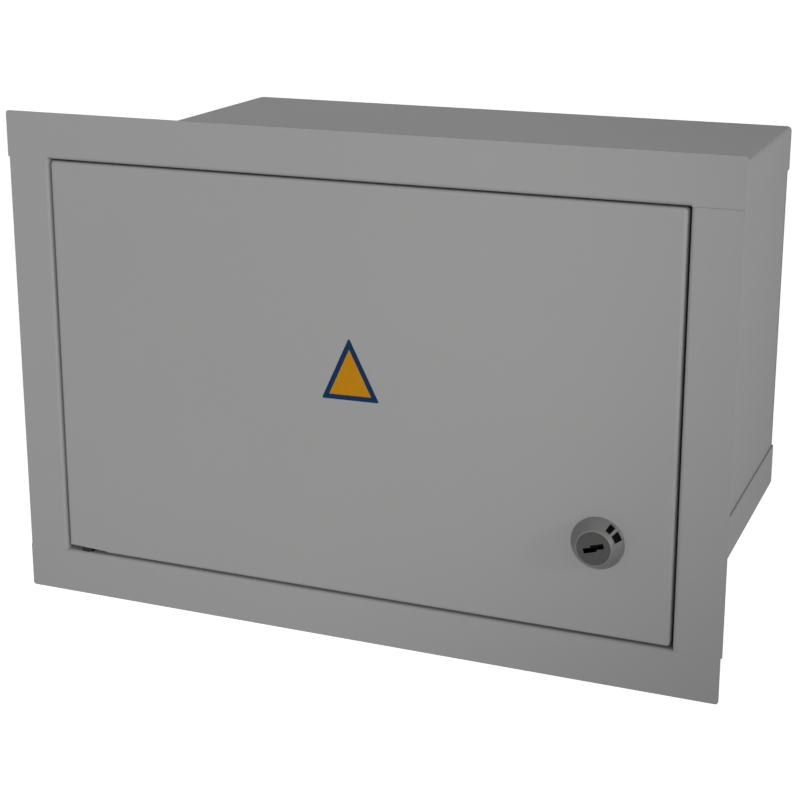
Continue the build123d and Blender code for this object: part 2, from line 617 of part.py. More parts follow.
# Lock plug with the stepped key slot in its face and a square at the rear for the cam
plug = rod(PLUG_HEAD_DIAMETER, LOCK_X, LOCK_Z, LOCK_FRONT, LOCK_FRONT + PLUG_HEAD_LENGTH)
plug += rod(PLUG_DIAMETER, LOCK_X, LOCK_Z, LOCK_FRONT + PLUG_HEAD_LENGTH, CAM_FRONT)
cam_back = CAM_FRONT + CAM_THICKNESS
square = Rectangle(CAM_SQUARE, CAM_SQUARE)
lock_place = Pos(LOCK_X, LOCK_Z)
plug += extrude(backwards(CAM_FRONT) * lock_place * square, amount=-CAM_THICKNESS)
key_half = Rectangle((KEY_SLOT_LENGTH + KEY_SLOT_WIDTH) / 2, KEY_SLOT_WIDTH)
key_shift_x = (KEY_SLOT_LENGTH - KEY_SLOT_WIDTH) / 4
key_slot = Pos(-key_shift_x, -KEY_SLOT_STEP / 2) * key_half
key_slot += Pos(key_shift_x, KEY_SLOT_STEP / 2) * key_half
key_place = lock_place * Rot(0, 0, KEY_SLOT_TILT)
plug -= extrude(backwards(LOCK_FRONT) * key_place * key_slot, amount=-KEY_SLOT_DEPTH)
screw_shank = SCREW_M5[0] + 2 * SCREW_CLEARANCE
cam_screw_reach = 2 * SCREW_M5[2]
plug -= rod(screw_shank, LOCK_X, LOCK_Z, cam_back - cam_screw_reach - SHEET, cam_back + SHEET)
save("lock_plug", plug)

# Cam, pointing down while the lock is open, and its screw
cam_outline = Pos(0, -CAM_LENGTH / 2) * Rectangle(CAM_WIDTH, CAM_LENGTH) + Circle(CAM_WIDTH / 2)
cam_tips = cam_outline.vertices().group_by(Axis.Y)[0]
cam_outline = fillet(cam_tips, CAM_WIDTH / 4)
cam_outline -= Rectangle(CAM_SQUARE + 2 * CAM_FIT, CAM_SQUARE + 2 * CAM_FIT)
save("lock_cam", extrude(backwards(CAM_FRONT) * lock_place * cam_outline, amount=-CAM_THICKNESS))

shank, head, height = SCREW_M5
cam_screw = rod(1.3 * head, LOCK_X, LOCK_Z, cam_back, cam_back + height)
cam_screw = fillet(cam_screw.edges().group_by(Axis.Y)[-1], height / 4)
cam_screw += rod(shank, LOCK_X, LOCK_Z, cam_back - cam_screw_reach, cam_back)
save("cam_screw", cam_screw)
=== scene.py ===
import math

import bmesh
import bpy
from mathutils import Matrix, Vector


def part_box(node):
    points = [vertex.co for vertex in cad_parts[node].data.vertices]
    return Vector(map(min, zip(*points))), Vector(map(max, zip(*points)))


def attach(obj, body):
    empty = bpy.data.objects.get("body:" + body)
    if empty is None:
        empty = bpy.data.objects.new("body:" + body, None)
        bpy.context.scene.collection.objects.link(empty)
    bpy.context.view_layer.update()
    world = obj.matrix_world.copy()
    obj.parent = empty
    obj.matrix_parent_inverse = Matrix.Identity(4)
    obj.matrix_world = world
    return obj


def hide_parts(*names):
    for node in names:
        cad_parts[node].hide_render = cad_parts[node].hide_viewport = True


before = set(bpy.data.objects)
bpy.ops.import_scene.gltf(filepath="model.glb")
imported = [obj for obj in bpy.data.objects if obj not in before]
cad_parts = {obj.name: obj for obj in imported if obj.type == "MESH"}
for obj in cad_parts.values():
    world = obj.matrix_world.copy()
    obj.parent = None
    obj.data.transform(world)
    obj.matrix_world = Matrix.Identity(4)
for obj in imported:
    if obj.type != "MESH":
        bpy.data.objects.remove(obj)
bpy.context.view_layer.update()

# Box: a top and a bottom sheet with front strips and side lips, two side sheets between them and a back
# plate, cut and folded from 1 mm steel. They are spot-welded and then powder-coated grey together, so one
# coat with a faint orange peel runs over every joint.
PAINT_GREY = (0.277, 0.277, 0.2755)
PAINT_ROUGHNESS = 0.7
PAINT_SHEEN = 0.18
PAINT_CLOUD = 0.03  # how far the tone drifts across a panel
PAINT_CLOUD_SIZE = 0.09
PEEL_SIZE = 0.0011
PEEL_DEPTH = 0.00003
PEEL_DULLING = 0.1  # how far the roughness follows the peel


class Wire:
    """One socket of a material. Sums and products with it add Math nodes to that material."""

    def __init__(self, tree, socket):
        self.tree = tree
        self.socket = socket

    def node(self, kind, settings, sockets, output=0):
        """Adds a node of any kind: its settings first, then the values or links of its sockets."""
        added = self.tree.nodes.new(kind)
        for name, value in settings.items():
            setattr(added, name, value)
        for name, value in sockets.items():
            if isinstance(value, Wire):
                self.tree.links.new(value.socket, added.inputs[name])
            else:
                added.inputs[name].default_value = value
        return Wire(self.tree, added.outputs[output])

    def math(self, operation, first, second=0.0):
        """Adds a Math node."""
        return self.node("ShaderNodeMath", {"operation": operation}, {0: first, 1: second})

    def __add__(self, other):
        return self.math("ADD", self, other)

    def __radd__(self, other):
        return self.math("ADD", other, self)

    def __sub__(self, other):
        return self.math("SUBTRACT", self, other)

    def __rsub__(self, other):
        return self.math("SUBTRACT", other, self)

    def __mul__(self, other):
        return self.math("MULTIPLY", self, other)

    def __rmul__(self, other):
        return self.math("MULTIPLY", other, self)

    def into(self, shader, name):
        """Leads this wire to one of the shader's sockets."""
        self.tree.links.new(self.socket, shader.inputs[name])


def new_material(name):
    """A material, its shader, and the wire that carries the piece's own coordinates."""
    material = bpy.data.materials.new(name)
    material.use_nodes = True
    tree = material.node_tree
    place = Wire(tree, tree.nodes.new("ShaderNodeTexCoord").outputs["Object"])
    return material, tree.nodes["Principled BSDF"], place


def noise(place, size, detail=2.0):
    """Soft random patches of about the given size in metres, from 0 to 1."""
    return place.node("ShaderNodeTexNoise", {}, {"Vector": place, "Scale": 1 / size, "Detail": detail})


def drift(middle, spread, pattern):
    """A value that swings evenly about its middle with a pattern that runs from 0 to 1."""
    return middle + (pattern - 0.5) * spread


def shaded(place, colour, tone):
    """A colour times a tone that varies."""
    return place.node("ShaderNodeVectorMath", {"operation": "SCALE"}, {0: colour, "Scale": tone})


def grain(place, height, depth, shader):
    """Roughens the surface by a pattern."""
    bump = place.node("ShaderNodeBump", {}, {"Strength": 1.0, "Distance": depth, "Height": height})
    bump.into(shader, "Normal")


def powder_coat(name):
    """Grey paint, baked on as powder."""
    material, shader, place = new_material(name)
    cloud = noise(place, PAINT_CLOUD_SIZE)
    peel = noise(place, PEEL_SIZE)
    shaded(place, PAINT_GREY, drift(1.0, PAINT_CLOUD, cloud)).into(shader, "Base Color")
    drift(PAINT_ROUGHNESS, PEEL_DULLING, peel).into(shader, "Roughness")
    grain(place, peel, PEEL_DEPTH, shader)
    shader.inputs["Specular IOR Level"].default_value = PAINT_SHEEN
    return material


def dress(material, *names):
    """Gives CAD nodes a material."""
    for name in names:
        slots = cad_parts[name].data.materials
        slots.clear()
        slots.append(material)


paint = powder_coat("grey_paint")
dress(paint, "top_panel", "bottom_panel", "left_side_panel", "right_side_panel", "back_panel")
dress(paint, "lock_keeper", "cover_angle_left", "cover_angle_right")

# Weld marks: the round prints that the welding tips leave along the edge of the back plate, where it is
# fixed to the rear lips. Each is a shallow dish in a raised rim, and the paint covers it.
WELD_RADIUS = 0.0036
WELD_RISE = 0.00045
WELD_DISH = (0.6, 0.4)  # radius and height of the dish, as shares of the mark's
WELD_RIM = 0.8  # radius of the rim, as a share of the mark's
WELD_INSET = 0.0075  # from the plate's edge
WELD_PITCH = 0.045
WELD_SEGMENTS = 32
MERGE_DISTANCE = 1e-7


def row_of_copies():
    """A node tree that sets copies of a template along a straight line."""
    tree = bpy.data.node_groups.new("row_of_copies", "GeometryNodeTree")
    kinds = {"Template": "Object", "Start": "Vector", "Step": "Vector", "Count": "Int", "Finish": "Material"}
    for name, kind in kinds.items():
        tree.interface.new_socket(name, in_out="INPUT", socket_type=f"NodeSocket{kind}")
    tree.interface.new_socket("Piece", in_out="OUTPUT", socket_type="NodeSocketGeometry")
    given = tree.nodes.new("NodeGroupInput").outputs
    line = tree.nodes.new("GeometryNodeMeshLine")
    template = tree.nodes.new("GeometryNodeObjectInfo")
    copies = tree.nodes.new("GeometryNodeInstanceOnPoints")
    solid = tree.nodes.new("GeometryNodeRealizeInstances")
    finish = tree.nodes.new("GeometryNodeSetMaterial")
    result = tree.nodes.new("NodeGroupOutput").inputs
    links = [
        (given["Count"], line.inputs["Count"]),
        (given["Start"], line.inputs["Start Location"]),
        (given["Step"], line.inputs["Offset"]),
        (given["Template"], template.inputs["Object"]),
        (line.outputs["Mesh"], copies.inputs["Points"]),
        (template.outputs["Geometry"], copies.inputs["Instance"]),
        (copies.outputs["Instances"], solid.inputs["Geometry"]),
        (solid.outputs["Geometry"], finish.inputs["Geometry"]),
        (given["Finish"], finish.inputs["Material"]),
        (finish.outputs["Geometry"], result["Piece"]),
    ]
    for start, end in links:
        tree.links.new(start, end)
    return tree


def new_object(name, data):
    """Puts a mesh, a lamp or the camera in the scene."""
    made = bpy.data.objects.new(name, data)
    bpy.context.collection.objects.link(made)
    return made


def mesh_of(shape, name):
    """Turns a worked shape into a mesh."""
    mesh = bpy.data.meshes.new(name)
    shape.to_mesh(mesh)
    shape.free()
    return mesh


def turned(name, profile, segments):
    """A template turned about the Y axis from a profile of (radius, y) points."""
    shape = bmesh.new()
    points = [shape.verts.new((radius, y, 0.0)) for radius, y in profile]
    edges = [shape.edges.new(pair) for pair in zip(points, points[1:])]
    turn = {"angle": math.tau, "steps": segments, "axis": (0, 1, 0), "cent": (0, 0, 0)}
    bmesh.ops.spin(shape, geom=points + edges, use_merge=True, **turn)
    bmesh.ops.remove_doubles(shape, verts=shape.verts, dist=MERGE_DISTANCE)
    bmesh.ops.recalc_face_normals(shape, faces=shape.faces)
    return new_object(name, mesh_of(shape, name))


def settle(piece):
    """Makes what a piece's modifiers give its plain mesh."""
    evaluated = piece.evaluated_get(bpy.context.evaluated_depsgraph_get())
    piece.data = bpy.data.meshes.new_from_object(evaluated)
    piece.modifiers.clear()


def row(name, template, material, start, offset, count, body):
    """Sets a row of copies as one plain piece on a body."""
    piece = new_object(name, bpy.data.meshes.new(name))
    copies = piece.modifiers.new("row", "NODES")
    copies.node_group = copies_tree
    values = {"Template": template, "Start": start, "Step": offset, "Count": count, "Finish": material}
    for socket in copies_tree.interface.items_tree:
        if socket.in_out == "INPUT":
            copies[socket.identifier] = values[socket.name]
    settle(piece)
    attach(piece, body)
    return piece


def weld_count(reach):
    """How many marks fit along an edge that reaches this far from its middle."""
    return 1 + int((2 * reach - WELD_PITCH) / WELD_PITCH)


copies_tree = row_of_copies()
dish_share, depth_share = WELD_DISH
weld_profile = [
    (0.0, WELD_RISE * depth_share),
    (WELD_RADIUS * dish_share, WELD_RISE * depth_share),
    (WELD_RADIUS * WELD_RIM, WELD_RISE),
    (WELD_RADIUS, 0.0),
]
weld = turned("weld_mark_template", weld_profile, WELD_SEGMENTS)
back_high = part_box("back_panel")[1]
weld_x = back_high.x - WELD_INSET
weld_z = back_high.z - WELD_INSET
across_count = weld_count(weld_x)
upright_count = weld_count(weld_z)
across_start = -(across_count - 1) / 2 * WELD_PITCH
upright_start = -(upright_count - 1) / 2 * WELD_PITCH
for name, side in (("lower", -1), ("upper", 1)):
    start = (across_start, back_high.y, side * weld_z)
    row(f"weld_marks_{name}", weld, paint, start, (WELD_PITCH, 0, 0), across_count, "enclosure")
for name, side in (("left", -1), ("right", 1)):
    start = (side * weld_x, back_high.y, upright_start)
    row(f"weld_marks_{name}", weld, paint, start, (0, 0, WELD_PITCH), upright_count, "enclosure")
bpy.data.objects.remove(weld)

# Mounting rail: a hat-section rail on two folded posts, all made from galvanised strip, so the zinc shows
# its crystals. Two screws hold the rail. They are zinc-plated and clear-passivated, a cool grey.
GALVANISED_COLOUR = (0.505, 0.520, 0.535)
GALVANISED_ROUGHNESS = 0.4
CRYSTAL_SIZE = 0.006
CRYSTAL_CONTRAST = 0.218
CRYSTAL_DULLING = 0.16
FROST_SIZE = 0.00075  # the fine frosting on the crystals
FROST_CONTRAST = 0.099
ZINC_COLOUR = (0.56, 0.57, 0.585)
ZINC_ROUGHNESS = 0.34
PLATING_CLOUD_SIZE = 0.004
PLATING_CLOUD_DETAIL = 4.0
PLATING_CONTRAST = 0.2
PLATING_DULLING = 0.2


def along(wire, axis):
    """One axis of a wire that carries a vector."""
    return wire.node("ShaderNodeSeparateXYZ", {}, {"Vector": wire}, output=axis)


def galvanised(name):
    """Hot-dipped strip with its zinc crystals."""
    material, shader, place = new_material(name)
    sockets = {"Vector": place, "Scale": 1 / CRYSTAL_SIZE}
    crystal = along(place.node("ShaderNodeTexVoronoi", {"feature": "F1"}, sockets, output="Color"), "X")
    tone = drift(1.0, CRYSTAL_CONTRAST, crystal)
    tone = drift(tone, FROST_CONTRAST, noise(place, FROST_SIZE))
    shaded(place, GALVANISED_COLOUR, tone).into(shader, "Base Color")
    drift(GALVANISED_ROUGHNESS, CRYSTAL_DULLING, crystal).into(shader, "Roughness")
    shader.inputs["Metallic"].default_value = 1.0
    return material


def finished_metal(name, colour, roughness):
    """Plated steel, or steel coloured near-black as painted shade."""
    material, shader, place = new_material(name)
    cloud = noise(place, PLATING_CLOUD_SIZE, PLATING_CLOUD_DETAIL)
    shaded(place, colour, drift(1.0, PLATING_CONTRAST, cloud)).into(shader, "Base Color")
    drift(roughness, PLATING_DULLING, cloud).into(shader, "Roughness")
    shader.inputs["Metallic"].default_value = 1.0
    return material


zinc = finished_metal("zinc_plate", ZINC_COLOUR, ZINC_ROUGHNESS)
dress(galvanised("galvanised_strip"), "din_rail", "rail_post_left", "rail_post_right")
dress(zinc, "rail_screws")

# Terminal bars: drawn brass bars with cross holes for the wires. The neutral bar stands on two moulded
# insulators and the earth bar straight on its bracket. Brackets and screws are zinc-plated steel.
BRASS_COLOUR = (0.72, 0.50, 0.20)
BRASS_ROUGHNESS = 0.34
LINE_LENGTH = 0.08  # the lines that drawing leaves along the bar
LINE_SPACING = 0.0003
LINE_DEPTH = 0.00002
LINE_CONTRAST = 0.2
LINE_DULLING = 0.2
TARNISH_SIZE = 0.012
TARNISH_CONTRAST = 0.16
SUPPORT_BLUE = (0.025, 0.12, 0.42)
SUPPORT_ROUGHNESS = 0.49
FLOW_SIZE = 0.01  # the faint streaks of the plastic's flow
FLOW_CONTRAST = 0.16
SPARK_SIZE = 0.0006  # the grain that a spark-eroded mould gives
SPARK_DEPTH = 0.00004
SPARK_DULLING = 0.14


def drawn_brass(name):
    """Brass with fine drawing lines along the bar."""
    material, shader, place = new_material(name)
    squeeze = (1 / LINE_LENGTH, 1 / LINE_SPACING, 1 / LINE_SPACING)
    lines = noise(place.node("ShaderNodeMapping", {}, {"Vector": place, "Scale": squeeze}), 1.0)
    tone = drift(1.0, LINE_CONTRAST, lines)
    tone = drift(tone, TARNISH_CONTRAST, noise(place, TARNISH_SIZE))
    shaded(place, BRASS_COLOUR, tone).into(shader, "Base Color")
    drift(BRASS_ROUGHNESS, LINE_DULLING, lines).into(shader, "Roughness")
    grain(place, lines, LINE_DEPTH, shader)
    shader.inputs["Metallic"].default_value = 1.0
    return material


def moulded(name):
    """Blue plastic from a spark-eroded mould."""
    material, shader, place = new_material(name)
    spark = noise(place, SPARK_SIZE)
    flow = noise(place, FLOW_SIZE)
    shaded(place, SUPPORT_BLUE, drift(1.0, FLOW_CONTRAST, flow)).into(shader, "Base Color")
    drift(SUPPORT_ROUGHNESS, SPARK_DULLING, spark).into(shader, "Roughness")
    grain(place, spark, SPARK_DEPTH, shader)
    return material


dress(drawn_brass("brass"), "neutral_bar", "earth_bar")
dress(moulded("blue_plastic"), "neutral_support_left", "neutral_support_right")
dress(zinc, "neutral_bracket", "earth_bracket", "neutral_terminal_screws", "earth_terminal_screws")
dress(zinc, "neutral_fixing_screws", "earth_fixing_screws")

# Earth studs: one welded to the back plate and one to the door, each with a washer and a nut. The free
# end of a stud shows its thread, up to the chamfer at the tip.
STUD_PITCH = 0.001
STUD_CHAMFER = 0.25  # as a share of the stud's radius
THREAD_RIDGE = 0.00022  # how far a thread stands out of the plain stud
THREAD_SEGMENTS = 40


def thread(name, middle, radius, pitch, low_y, high_y, body):
    """The turns of a thread round a stud or a barrel along Y."""
    foot = radius - THREAD_RIDGE
    profile = [(foot, -pitch / 2), (radius + THREAD_RIDGE, 0.0), (foot, pitch / 2)]
    ring = turned(f"{name}_template", profile, THREAD_SEGMENTS)
    count = int((high_y - low_y) / pitch)
    start = (middle.x, low_y + pitch / 2, middle.z)
    row(name, ring, zinc, start, (0, pitch, 0), count, body)
    bpy.data.objects.remove(ring)


dress(zinc, "earth_stud", "earth_washer", "earth_nut")
dress(zinc, "door_earth_stud", "door_earth_washer", "door_earth_nut")
stud_low, stud_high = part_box("earth_stud")
nut_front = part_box("earth_nut")[0].y
stud_radius = (stud_high.x - stud_low.x) / 2
stud_chamfer = stud_radius * STUD_CHAMFER
stud_middle = (stud_low + stud_high) / 2
stud_end = stud_low.y + stud_chamfer
thread("earth_stud_thread", stud_middle, stud_radius, STUD_PITCH, stud_end, nut_front, "enclosure")
stud_low, stud_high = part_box("door_earth_stud")
nut_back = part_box("door_earth_nut")[1].y
stud_middle = (stud_low + stud_high) / 2
stud_end = stud_high.y - stud_chamfer
thread("door_stud_thread", stud_middle, stud_radius, STUD_PITCH, nut_back, stud_end, "door")

# Inner cover: a folded sheet with the module slot, painted like the box. Four slotted screws, zinc-plated
# like those of the rail, go through it into the angles on the side walls.
dress(paint, "inner_cover")
dress(zinc, "cover_screws")

# Hinge: two steel pins pushed through the top and bottom walls and staked, and a turned spacer under the
# door. All are coloured near-black as painted shade for the dark hinge gap, a dark metal with a soft
# cloudiness.
# Painted shade: the near-black of the hinge parts stands for the shade in the hinge gap.
HINGE_SHADE_BLACK = (0.025, 0.025, 0.027)
HINGE_SHADE_ROUGHNESS = 0.5

hinge_shade = finished_metal("blackened_steel", HINGE_SHADE_BLACK, HINGE_SHADE_ROUGHNESS)
dress(hinge_shade, "hinge_pin_top", "hinge_pin_bottom", "hinge_spacer")

# Door: a pan folded from 1 mm steel, its corners welded and ground, painted with the same grey. The hinge
# plate is welded in at its lower left corner.
dress(paint, "door_panel", "door_hinge_plate")

# Sticker: a triangle of printed foil in the middle of the door, stuck on by hand a little askew. It is a
# plain orange field in a dark blue border.
STICKER_BASE = 0.0322
STICKER_HEIGHT = 0.0335
STICKER_BORDER = 0.0027
STICKER_CORNER = 0.0006
STICKER_THICKNESS = 0.00012
STICKER_BEVEL = 0.00004
STICKER_TURN = math.radians(1.0)
STICKER_MIDDLE = (0.0013, -0.0025)  # middle of its base on the door, X and Z
ARC_STEPS = 5
FIELD_ORANGE = (0.405, 0.172, 0.002, 1.0)
BORDER_BLUE = (0.002, 0.022, 0.070, 1.0)
PRINT_EDGE = 0.0001  # half the width over which one ink gives way to the other
FOIL_ROUGHNESS = 0.55
FOIL_SHEEN = 0.08
INK_SIZE = 0.004
INK_DETAIL = 3.0
INK_CONTRAST = 0.14
INK_DULLING = 0.1


def triangle_sides():
    """Each side of the sticker as an outward direction and its distance from the base's middle."""
    slope = math.atan2(STICKER_HEIGHT, STICKER_BASE / 2)
    reach = STICKER_BASE / 2 * math.sin(slope)
    lean = math.pi / 2 - slope
    return [(-math.pi / 2, 0.0), (lean, reach), (math.pi - lean, reach)]


def foil_triangle(face_y):
    """The sticker's mesh: a thin prism with rounded corners."""
    sides = triangle_sides()
    outline = []
    for (first, first_reach), (second, second_reach) in zip(sides, sides[1:] + sides[:1]):
        sweep = (second - first) % math.tau
        inner_first = first_reach - STICKER_CORNER
        inner_second = second_reach - STICKER_CORNER
        x = (inner_first * math.sin(second) - inner_second * math.sin(first)) / math.sin(sweep)
        z = (inner_second * math.cos(first) - inner_first * math.cos(second)) / math.sin(sweep)
        for i in range(ARC_STEPS + 1):
            angle = first + sweep * i / ARC_STEPS
            outline.append((x + STICKER_CORNER * math.cos(angle), z + STICKER_CORNER * math.sin(angle)))
    shape = bmesh.new()
    sheet = shape.faces.new([shape.verts.new((x, 0.0, z)) for x, z in outline])
    raised = bmesh.ops.extrude_face_region(shape, geom=[sheet])["geom"]
    lifted = [item for item in raised if isinstance(item, bmesh.types.BMVert)]
    bmesh.ops.translate(shape, verts=lifted, vec=(0.0, -STICKER_THICKNESS, 0.0))
    bmesh.ops.recalc_face_normals(shape, faces=shape.faces)
    rim = [edge for edge in shape.edges if all(vert in lifted for vert in edge.verts)]
    bmesh.ops.bevel(shape, geom=rim, offset=STICKER_BEVEL, segments=2, affect="EDGES")
    base_x, base_z = STICKER_MIDDLE
    seat = Matrix.Translation((base_x, face_y, base_z)) @ Matrix.Rotation(-STICKER_TURN, 4, "Y")
    bmesh.ops.transform(shape, matrix=seat, verts=shape.verts)
    return mesh_of(shape, "sticker")


def greatest(first, *others):
    """The greatest of several wires."""
    for other in others:
        first = first.math("MAXIMUM", first, other)
    return first


def blend(place, share, first, second):
    """The first colour where the share is 0 and the second where it is 1."""
    sockets = {"Factor": share, 6: first, 7: second}
    return place.node("ShaderNodeMix", {"data_type": "RGBA"}, sockets, output=2)


def rise(value, low, high):
    """0 below low, 1 above high and a smooth rise between."""
    sockets = {"Value": value, "From Min": low, "From Max": high}
    return value.node("ShaderNodeMapRange", {"interpolation_type": "SMOOTHSTEP"}, sockets)


def past(value, limit, softness):
    """0 before a limit and 1 past it."""
    return rise(value, limit - softness, limit + softness)


def printed_foil(name):
    """Two printed colours, parted by the distance from the sticker's edge."""
    material, shader, place = new_material(name)
    base_x, base_z = STICKER_MIDDLE
    x = along(place, "X") - base_x
    z = along(place, "Z") - base_z
    beyond = []
    for angle, reach in triangle_sides():
        angle += STICKER_TURN
        beyond.append(x * math.cos(angle) + z * math.sin(angle) - reach)
    border = past(greatest(*beyond), -STICKER_BORDER, PRINT_EDGE)
    ink = noise(place, INK_SIZE, INK_DETAIL)
    colour = blend(place, border, FIELD_ORANGE, BORDER_BLUE)
    shaded(place, colour, drift(1.0, INK_CONTRAST, ink)).into(shader, "Base Color")
    drift(FOIL_ROUGHNESS, INK_DULLING, ink).into(shader, "Roughness")
    shader.inputs["Specular IOR Level"].default_value = FOIL_SHEEN
    return material


door_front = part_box("door_panel")[0].y
sticker = new_object("sticker", foil_triangle(door_front))
sticker.data.materials.append(printed_foil("printed_foil"))
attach(sticker, "door")

# Lock: a zinc die-casting with a dull nickel finish, darker on the plug that turns in it. Painted shade
# darkens the cone's front rim, two black marks on the cone are painted dark reflections set as index marks,
# and painted shade blackens the key slot. A nut on the threaded barrel holds it behind the door.
CASTING_COLOUR = (0.165, 0.165, 0.163)
CASTING_ROUGHNESS = 0.46
CASTING_METALLIC = 0.45
PLUG_COLOUR = (0.058, 0.058, 0.057)
PLUG_ROUGHNESS = 0.5
PLUG_METALLIC = 0.85
CASTING_CLOUD_SIZE = 0.003
CASTING_CLOUD_DETAIL = 4.0
CASTING_CONTRAST = 0.24
CASTING_DULLING = 0.15
PIT_SIZE = 0.0005
PIT_DEPTH = 0.00002
# Painted shade: the cone's front rim is coloured as dark as the plug, which dulls its highlight.
RIM_SHADE_COLOUR = (0.055, 0.055, 0.054, 1.0)
RIM_SHADE_RADIUS = 0.0089  # up to here the cone's front edge is painted dark, a painted shade as dull as the plug
# Black for the painted dark reflections on the cone and for the painted shade in the key slot.
REFLECTION_AND_SHADE_BLACK = (0.004, 0.004, 0.004, 1.0)
REFLECTION_RING = (0.0106, 0.0133)  # from the lock's middle, inner and outer edge of the painted dark reflections
DARK_REFLECTIONS = ((46.0, 61.0), (17.0, 39.0))  # degrees from the right, upwards, of the two painted dark reflections
SOFT_EDGE = 0.0003
SLOT_SHADE_START = 0.0002  # behind the plug's face, where painted shade blackens the key slot
SLOT_SHADE_END = 0.0066
BARREL_PITCH = 0.0015
BARREL_RADIUS = 0.008

housing_low, housing_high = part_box("lock_housing")
lock_middle = (housing_low + housing_high) / 2


def cast_metal(name, colour, roughness, metallic):
    """Dull nickel on a casting; returns the colour's wire too, for the painted shade and reflections laid on
    it.
    """
    material, shader, place = new_material(name)
    cloud = noise(place, CASTING_CLOUD_SIZE, CASTING_CLOUD_DETAIL)
    tone = shaded(place, colour, drift(1.0, CASTING_CONTRAST, cloud))
    drift(roughness, CASTING_DULLING, cloud).into(shader, "Roughness")
    grain(place, noise(place, PIT_SIZE), PIT_DEPTH, shader)
    shader.inputs["Metallic"].default_value = metallic
    return material, shader, place, tone


def round_the_lock(place):
    """The distance from the lock's axis and the angle round it."""
    x = along(place, "X") - lock_middle.x
    z = along(place, "Z") - lock_middle.z
    return place.math("SQRT", x * x + z * z), place.math("ARCTAN2", z, x)


def painted_reflections(radius, angle):
    """1 on the painted dark reflections, set as two index marks, and 0 elsewhere."""
    inner, outer = REFLECTION_RING
    ring = past(radius, inner, SOFT_EDGE) * (1 - past(radius, outer, SOFT_EDGE))
    softness = SOFT_EDGE / outer
    marks = []
    for first, last in DARK_REFLECTIONS:
        after = past(angle, math.radians(first), softness)
        before = 1 - past(angle, math.radians(last), softness)
        marks.append(ring * after * before)
    return greatest(*marks)


def nickel_casting(name):
    """The housing: its cone, painted shade on its rim and painted dark reflections set as index marks."""
    look = cast_metal(name, CASTING_COLOUR, CASTING_ROUGHNESS, CASTING_METALLIC)
    material, shader, place, tone = look
    radius, angle = round_the_lock(place)
    # Painted shade on the cone's rim.
    tone = blend(place, past(radius, RIM_SHADE_RADIUS, SOFT_EDGE), RIM_SHADE_COLOUR, tone)
    # Painted dark reflections: black, fully metallic marks on the cone.
    marks = painted_reflections(radius, angle)
    blend(place, marks, tone, REFLECTION_AND_SHADE_BLACK).into(shader, "Base Color")
    (CASTING_METALLIC + marks * (1 - CASTING_METALLIC)).into(shader, "Metallic")
    return material


def dark_plug(name):
    """The plug: its dark face and the painted shade that blackens the key slot."""
    material, shader, place, tone = cast_metal(name, PLUG_COLOUR, PLUG_ROUGHNESS, PLUG_METALLIC)
    # Painted shade: the inside of the key slot is coloured black.
    behind = along(place, "Y") - housing_low.y
    slot_shade = rise(behind, 0.0, SLOT_SHADE_START) * (1 - rise(behind, SLOT_SHADE_END, SLOT_SHADE_END + SLOT_SHADE_START))
    blend(place, slot_shade, tone, REFLECTION_AND_SHADE_BLACK).into(shader, "Base Color")
    return material


dress(nickel_casting("lock_casting"), "lock_housing")
dress(dark_plug("lock_face"), "lock_plug")
dress(zinc, "lock_nut")
barrel_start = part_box("lock_nut")[1].y
thread("barrel_thread", lock_middle, BARREL_RADIUS, BARREL_PITCH, barrel_start, housing_high.y, "door")

# Cam: a strip of steel with a square hole that sits on the plug's end, zinc-plated. A screw with a wide
# round head holds it there, and a tapered cross is pressed into the head for the driver.
SCREW_SHANK = 0.0025  # radius
SCREW_ROUNDING = 0.25  # at the head's edge, as a share of the head's height
SCREW_SEGMENTS = 64
CROSS_ARM = (0.006, 0.0012)  # length and width
CROSS_DEPTH = 0.0019
CROSS_TAPER = 0.55
CROSS_TURN = math.radians(24.0)


def screw_profile(low, high, seat_y):
    """The outline of the cam's screw from the tip of its shank to the crown of its head."""
    head = (high.x - low.x) / 2
    corner = (high.y - seat_y) * SCREW_ROUNDING
    points = [(0.0, low.y), (SCREW_SHANK, low.y), (SCREW_SHANK, seat_y), (head, seat_y)]
    for i in range(ARC_STEPS + 1):
        angle = math.pi / 2 * i / ARC_STEPS
        points.append((head - corner + corner * math.cos(angle), high.y - corner + corner * math.sin(angle)))
    return points + [(0.0, high.y)]


def cut_cross(screw, top):
    """Cuts the cross into a screw's head, one arm after the other."""
    length, width = CROSS_ARM
    for x_size, z_size in ((length, width), (width, length)):
        shape = bmesh.new()
        bmesh.ops.create_cube(shape, size=1.0)
        bmesh.ops.scale(shape, vec=(x_size, 2 * CROSS_DEPTH, z_size), verts=shape.verts)
        bottom = [vert for vert in shape.verts if vert.co.y < 0]
        bmesh.ops.scale(shape, vec=(CROSS_TAPER, 1.0, CROSS_TAPER), verts=bottom)
        seat = Matrix.Translation((0.0, top, 0.0)) @ Matrix.Rotation(CROSS_TURN, 4, "Y")
        bmesh.ops.transform(shape, matrix=seat, verts=shape.verts)
        cutter = new_object("cutter", mesh_of(shape, "cutter"))
        screw.modifiers.new("cut", "BOOLEAN").object = cutter
        settle(screw)
        bpy.data.objects.remove(cutter)


dress(zinc, "lock_cam", "cam_screw")
screw_low, screw_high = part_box("cam_screw")
cam_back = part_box("lock_cam")[1].y
screw = turned("cam_screw_template", screw_profile(screw_low, screw_high, cam_back), SCREW_SEGMENTS)
cut_cross(screw, screw_high.y)
crossed = row("cross_head_screw", screw, zinc, (lock_middle.x, 0, lock_middle.z), (0, 0, 0), 1, "lock")
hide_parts("cam_screw")
bpy.data.objects.remove(screw)

